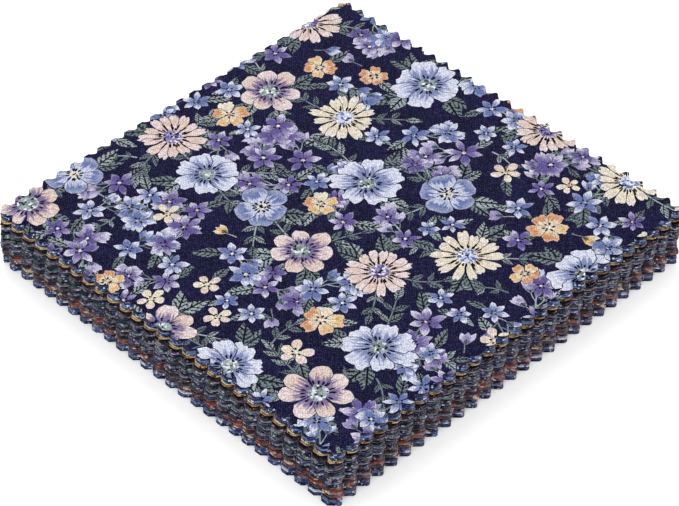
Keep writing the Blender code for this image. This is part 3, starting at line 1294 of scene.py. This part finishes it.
def filler(spot, draws):
    """A small thing for a bare place."""
    angle = draws.uniform(0, 2 * math.pi)
    base = polar(spot, angle, FILLER_ROOT)
    kind = draws.choice(("sprig", "lilac", "blue_star", "blue_star", "bud", "small"))
    if kind == "sprig":
        return sprig(base, angle, draws.uniform(*FILLER_SPRIG), draws)
    if kind == "bud":
        tints = draws.choice(BUD_TINTS)
        drawn = stem(base, angle, *FILLER_STEM, draws)[0]
        return [drawn] + bud(spot, angle, FILLER_BUD, tints, draws)
    if kind == "small":
        return bloom("cream_small", spot, draws.uniform(*FILLER_FLOWER), draws)
    made = leaf(spot, angle, STAR_LEAVES[0], draws)
    made += leaf(spot, angle + STAR_LEAF_TURN, STAR_LEAVES[1], draws)
    return made + bloom(kind, spot, draws.uniform(*FILLER_STAR), draws)


def fill_gaps(figures, draws):
    """Puts fillers where no figure has a point near."""
    taken = np.array([spot for figure in figures for spot in figure.outline])
    made = []
    for attempt in range(FILL_TRIES):
        spot = any_spot(draws)
        if np.abs(taken - spot).max(axis=1).min() > SMALLEST_GAP:
            new = filler(spot, draws)
            taken = np.vstack([taken] + [np.array(figure.outline) for figure in new])
            made += new
    return made


print("Places tried for fillers:", FILL_TRIES)

# %% Draw the whole print
def draw_print():
    """Every figure of the print, from the lowest ink to the highest."""
    draws = random.Random(PRINT_SEED)
    placed = place_flowers(draws)
    greens = []
    small = []
    large = []
    for flower in placed:
        greens += greenery(flower, draws)
        heads = large if flower.radius > LARGE_RADIUS else small
        heads.extend(bloom(flower.kind, flower.centre, flower.radius, draws))
    counts = {kind: sum(flower.kind == kind for flower in placed) for kind in FLOWERS}
    print("Flowers placed:", counts)
    fillers = fill_gaps(greens + small + large, draws)
    print("Figures that fill gaps:", len(fillers))
    return fillers + greens + small + large


PRINT_FIGURES = draw_print()
print("Figures in the print:", len(PRINT_FIGURES))

# %% [markdown]
# ## Inks for the top square
# One finish serves all petals, one all leaves, one the speckled eyes and one the plain lines,
# because each face of the cloth carries its own tint and accent as attributes. A third attribute
# holds where in its figure a point lies, along and across, and streaks and veins follow that.

# %% Mix the ink of the petals
PETAL_RIM = (0.65, 0.65, 0.71, 1.0)
GRAIN_WAYS = (1.0, 3.2, 1.0)
GRAIN_SCALE = 1.6
GRAIN_DETAIL = 3.0
STREAK_REACH = 1.6
STREAK_START = -0.35
STREAK_EDGE = (-0.16, 0.0)
STREAK_END = (0.95, 0.5)
STREAKS = 0.8
SHADED_BASE = (0.65, 0.0)
BASE_SHADE = 0.4
PALE_RIM = (0.6, 0.95)
RIM_SHARE = 0.3


def tint_and_accent(tree):
    """A figure's two colours."""
    return stored(tree, "tint")["Color"], stored(tree, "accent")["Color"]


def petal_ink(tree):
    """Streaks run out from the base of a petal, which is shaded, and its rim is paler."""
    tint, accent = tint_and_accent(tree)
    place = stored(tree, "figure")["Vector"]
    along = apart(tree, place)
    grain = noise(tree, on_vectors(tree, "MULTIPLY", place, GRAIN_WAYS), GRAIN_SCALE, GRAIN_DETAIL)[0]
    reach = reckon(tree, "MULTIPLY_ADD", grain, STREAK_REACH, STREAK_START)
    streak = step(tree, reckon(tree, "SUBTRACT", reach, along["X"]), *STREAK_EDGE)
    share = reckon(tree, "MULTIPLY", streak, step(tree, along["X"], *STREAK_END))
    soft = reckon(tree, "MULTIPLY", step(tree, along["X"], *SHADED_BASE), BASE_SHADE)
    outer = reckon(tree, "MAXIMUM", along["X"], reckon(tree, "ABSOLUTE", along["Y"]))
    paler = reckon(tree, "MULTIPLY", step(tree, outer, *PALE_RIM), RIM_SHARE)
    rimmed = shade(tree, paler, shade(tree, soft, tint, accent), PETAL_RIM)
    return shade(tree, reckon(tree, "MULTIPLY", share, STREAKS), rimmed, accent)


print("Streaks show at most:", STREAKS)

# %% Mix the inks of leaves, eyes and lines
MIDRIB = (0.17, 0.09)
VEIN_SCALE = 1.3
VEIN_SLANT = -1.2
VEINS_A_LEAF = 5.6
VEIN_WANDER = 1.6
VEIN_START = 4.0
VEIN_EDGE = (0.29, 0.15)
VEIN_BREAK = (0.36, 0.46)
SPECK_SCALE = 1.5
SPECK_GREY = (0.64, 0.66, 0.70, 1.0)
SPECK_STEPS = ((0.40, 0.42), (0.68, 0.70), (0.86, 0.88))
CLOUD_SCALE = 0.12
CLOUD_STEP = (0.35, 0.65)
NAVY_CLOUD = (0.0052, 0.0045, 0.034, 1.0)


def leaf_ink(tree):
    """A dark midrib and broken side veins."""
    along = apart(tree, stored(tree, "figure")["Vector"])
    off = reckon(tree, "ABSOLUTE", along["Y"])
    broken = noise(tree, bolt_place(tree), VEIN_SCALE)[0]
    rows = reckon(tree, "MULTIPLY", along["X"], VEINS_A_LEAF)
    slant = reckon(tree, "MULTIPLY_ADD", off, VEIN_SLANT, rows)
    slant = reckon(tree, "MULTIPLY_ADD", broken, VEIN_WANDER, slant)
    saw = reckon(tree, "FRACT", reckon(tree, "ADD", slant, VEIN_START))
    from_middle = reckon(tree, "ABSOLUTE", reckon(tree, "SUBTRACT", saw, 0.5))
    vein = step(tree, from_middle, *VEIN_EDGE)
    vein = reckon(tree, "MULTIPLY", vein, step(tree, broken, *VEIN_BREAK))
    lines = reckon(tree, "MAXIMUM", step(tree, off, *MIDRIB), vein)
    return shade(tree, lines, *tint_and_accent(tree))


def eye_ink(tree):
    """Small specks of four colours."""
    cells = add(tree, "ShaderNodeTexVoronoi", {"Vector": bolt_place(tree), "Scale": SPECK_SCALE})
    draw = add(tree, "ShaderNodeSeparateColor", {0: cells["Color"]})[0]
    colour, accent = tint_and_accent(tree)
    for edges, speck in zip(SPECK_STEPS, (accent, SPECK_GREY, solid(INK))):
        colour = shade(tree, step(tree, draw, *edges), colour, speck)
    return colour


def line_ink(tree):
    """The plain tint of outlines, strokes and stems."""
    return stored(tree, "tint")["Color"]


def ground_ink(tree):
    """The deep navy between the figures, a little uneven."""
    cloud = noise(tree, bolt_place(tree), CLOUD_SCALE)[0]
    return shade(tree, step(tree, cloud, *CLOUD_STEP), solid(NAVY), NAVY_CLOUD)


print("Colours of specks in an eye:", len(SPECK_STEPS) + 1)

# %% Make the inks
INKS = {
    "petal": over_weave("petal_ink", petal_ink),
    "leaf": over_weave("leaf_ink", leaf_ink),
    "eye": over_weave("eye_ink", eye_ink),
    "ink": over_weave("line_ink", line_ink),
}
NAVY_GROUND = over_weave("navy_ground", ground_ink, SPECK_AND_SHEEN_AMOUNT)
print("Inks:", ", ".join(INKS))

# %% Print the top square
UNPRINTED = (0.0, 0.0, 0.0)


def place_in_figure(drawn, x, y):
    """(along, across, draw) of a point in its figure: 0 to 1 along it, and -1 to 1 across."""
    from_base = (x - drawn.base[0], y - drawn.base[1])
    along = (from_base[0] * drawn.way[0] + from_base[1] * drawn.way[1]) / drawn.reach
    across = (from_base[1] * drawn.way[0] - from_base[0] * drawn.way[1]) / drawn.width
    return (along, across, drawn.draw)


def printed_square(name, figures):
    """The top square, whose faces carry the inks of the topmost figures."""
    points, triangles, tops = cut_square(1.0, figures)
    sheet = closed_sheet(points, triangles)
    piece = cloth_object(name, sheet, (0.0, 0.0))
    mesh = piece.data
    for ink in INKS.values():
        mesh.materials.append(ink)
    slots = list(INKS)
    tops = tops + [-1] * (len(sheet.faces) - len(tops))
    worn = [figures[top] if top >= 0 else None for top in tops]
    indices = [slots.index(drawn.ink) if drawn else 0 for drawn in worn]
    mesh.polygons.foreach_set("material_index", indices)
    tint = []
    accent = []
    inked = []
    spots = []
    for face, drawn in zip(sheet.faces, worn):
        for index in face:
            x, y, z = sheet.points[index]
            tint += solid(drawn.tint if drawn else UNPRINTED)
            accent += solid(drawn.accent if drawn else UNPRINTED)
            inked.append(float(drawn is not None))
            spots += place_in_figure(drawn, x, y) if drawn else (0.0, 0.0, 0.0)
    mark(mesh, "tint", "CORNER", "FLOAT_COLOR", tint)
    mark(mesh, "accent", "CORNER", "FLOAT_COLOR", accent)
    mark(mesh, "printed", "CORNER", "FLOAT", inked)
    mark(mesh, "figure", "CORNER", "FLOAT_VECTOR", spots)
    return piece


printed = printed_square(f"square_{SQUARES:02d}", PRINT_FIGURES)
print("Faces in the printed square:", len(printed.data.polygons))

# %% [markdown]
# ## Stacking the pack
# Now the squares are cut and laid, from the bottom up. Each takes the shift and turn of its leaf
# and a little of its own. The top square turns a touch further than the rest, so that it reaches
# furthest and its print gets the sharpest map when the finishes are baked. When all the trees are
# set, every piece is evaluated once and becomes a plain mesh, and the trees come off.

# %% Lay all the squares
# Shifts, waves, sags and the ragged edge are in millimetres. The drift is how far the noise moves
# on from square to square. The lowest squares lie flatter, up to the one where the wave is full.
OWN_SHIFT = 0.22
OWN_TURN = math.radians(0.10)
TOP_TURN = math.radians(0.15)
RIM_WAVE = 0.9
LEVEL_DRIFT = 0.045
RAGGED_EDGE = 0.26
FLANK_SAG = 0.3
THREADS_PER_SQUARE_METRE = 3e5
FULL_WAVE_FROM = 20
OWN_SEED = 11
MOST_ALONG_BOLT = 900
HEIGHT_STEP = (STACK_HEIGHT - CLOTH_THICKNESS) / (SQUARES - 1)

own_draws = random.Random(OWN_SEED)
pack = []
for number in range(SQUARES):
    rise = number / (SQUARES - 1)
    leaf_number = number * LEAVES // SQUARES
    leaf_shift, leaf_turn = LEAF_PLACES[leaf_number]
    if number == SQUARES - 1:
        piece = printed
        cloth = NAVY_GROUND
    else:
        points, triangles, tops = cut_square(rise)
        if number == 0 or ORDER[number] != ORDER[number - 1]:
            bolt = [own_draws.uniform(0, MOST_ALONG_BOLT) for way in range(2)]
        piece = cloth_object(f"square_{number + 1:02d}", closed_sheet(points, triangles), bolt)
        cloth = COTTONS[ORDER[number]]
    shift = [(along + own_draws.uniform(-OWN_SHIFT, OWN_SHIFT)) * MM for along in leaf_shift]
    looseness = min(1.0, number / FULL_WAVE_FROM) * MM
    turn = leaf_turn + own_draws.uniform(-OWN_TURN, OWN_TURN)
    if piece is printed:
        turn += TOP_TURN
    laying = {
        "Height": number * HEIGHT_STEP * MM,
        "Shift": (*shift, 0.0),
        "Turn": turn,
        "Level": number * LEVEL_DRIFT,
        "Wave": RIM_WAVE * looseness,
        "Sag": FLANK_SAG * looseness,
        "Ragged": RAGGED_EDGE * MM,
        "Cloth": cloth,
    }
    use_tree(piece, LAYING, laying)
    fraying = {"Density": THREADS_PER_SQUARE_METRE, "Seed": number, "Thread": THREADS}
    use_tree(piece, FRAYING, fraying)
    pack.append(piece)
print("Squares laid:", len(pack))

# %% Turn every square into a plain mesh
depsgraph = bpy.context.evaluated_depsgraph_get()
total = 0
for piece in pack:
    plain = bpy.data.meshes.new_from_object(
        piece.evaluated_get(depsgraph), preserve_all_data_layers=True, depsgraph=depsgraph
    )
    old = piece.data
    piece.modifiers.clear()
    piece.data = plain
    bpy.data.meshes.remove(old)
    plain.name = piece.name
    total += sum(len(face.vertices) - 2 for face in plain.polygons)
print("Triangles in the whole pack:", total)

# %% [markdown]
# ## A map for each square
# Each square gets a map, through which its finishes can be baked into one picture. The print is the
# finest thing here, so on the top square it fills most of the map. What shows of the other squares
# is their cut edge. So each of the four edges is rolled out as a strip of its own along the map, the
# loose threads lie in a row above them, and the two faces fill the rest.

# %% Lay each square out flat
# Sizes and places as shares of the map
EDGE_STRIP = 0.03
STRIP_PITCH = 0.035
THREAD_ROW = 0.148
THREAD_PATCH = (0.005, 0.01)
FACES_START = 0.165
PRINT_ON_MAP = 0.83
PLAIN_ON_MAP = 0.49
MAP_GAP = 0.005
THREADS_ACROSS = 0.98

# How much wider a square's place on the map is than its cut side
MAP_MARGIN = 1.02

# A face that points up or down by less than this is part of the cut edge
SIDE_ON = 0.5
MAP_PIXELS = 1024


def numbers_of(items, field, kind=np.int32, width=1):
    """A field of many mesh elements as an array, with rows where it is wider than 1."""
    numbers = np.empty(len(items) * width, kind)
    items.foreach_get(field, numbers)
    return numbers.reshape(-1, width) if width > 1 else numbers


def lay_out(mesh, top_size):
    """Gives a square its map: cut edges below, the top above them, and the underside beside it."""
    points = numbers_of(mesh.loops, "vertex_index")
    places = numbers_of(mesh.vertices, "co", np.float32, 3)[points]
    counts = numbers_of(mesh.polygons, "loop_total")
    starts = numbers_of(mesh.polygons, "loop_start")
    face = np.repeat(np.arange(len(counts)), counts)
    turn = np.arange(len(points)) - starts[face]
    centres = numbers_of(mesh.polygons, "center", np.float32, 3)[face]
    upward = numbers_of(mesh.polygons, "normal", np.float32, 3)[face, 2]
    finish = numbers_of(mesh.polygons, "material_index")[face]
    flat = places[:, :2] / (SIDE * MM * MAP_MARGIN) + 0.5
    spots = flat * top_size + (0.0, FACES_START)
    under = upward < -SIDE_ON
    under_size = 1 - top_size - MAP_GAP
    spots[under] = flat[under] * under_size + (top_size + MAP_GAP, FACES_START)
    edge = np.abs(upward) <= SIDE_ON
    high = places[:, 2] > centres[:, 2]
    for number, (way, side) in enumerate(((0, -1), (0, 1), (1, -1), (1, 1))):
        here = edge & (centres[:, 1 - way] * side > np.abs(centres[:, way]))
        spots[here, 0] = flat[here, way]
        spots[here, 1] = number * STRIP_PITCH + MAP_GAP + high[here] * EDGE_STRIP
    loose = finish == mesh.materials.find(THREADS.name)
    draws = numbers_of(mesh.attributes["thread"].data, "value", np.float32)[points]
    patch_width, patch_height = THREAD_PATCH
    right = np.isin(turn[loose], (1, 2))
    spots[loose, 0] = draws[loose] * THREADS_ACROSS + right * patch_width
    spots[loose, 1] = THREAD_ROW + (turn[loose] > 1) * patch_height
    mesh.uv_layers.new(name="OFBake").uv.foreach_set("vector", spots.astype(np.float32).ravel())


for piece in pack:
    lay_out(piece.data, PRINT_ON_MAP if piece is printed else PLAIN_ON_MAP)
sharpness = PRINT_ON_MAP * MAP_PIXELS / (SIDE * MAP_MARGIN)
print("Pixels a millimetre of the print:", round(sharpness, 1), "on a map of", MAP_PIXELS)

# %% [markdown]
# ## Squares in place of the leaves
# Every square stands for its leaf: it is attached to the root, and the leaf is hidden.

for number, piece in enumerate(pack):
    leaf_number = number * LEAVES // SQUARES
    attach(piece, "root")
    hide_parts(f"charm_layer_{leaf_number + 1:02d}")
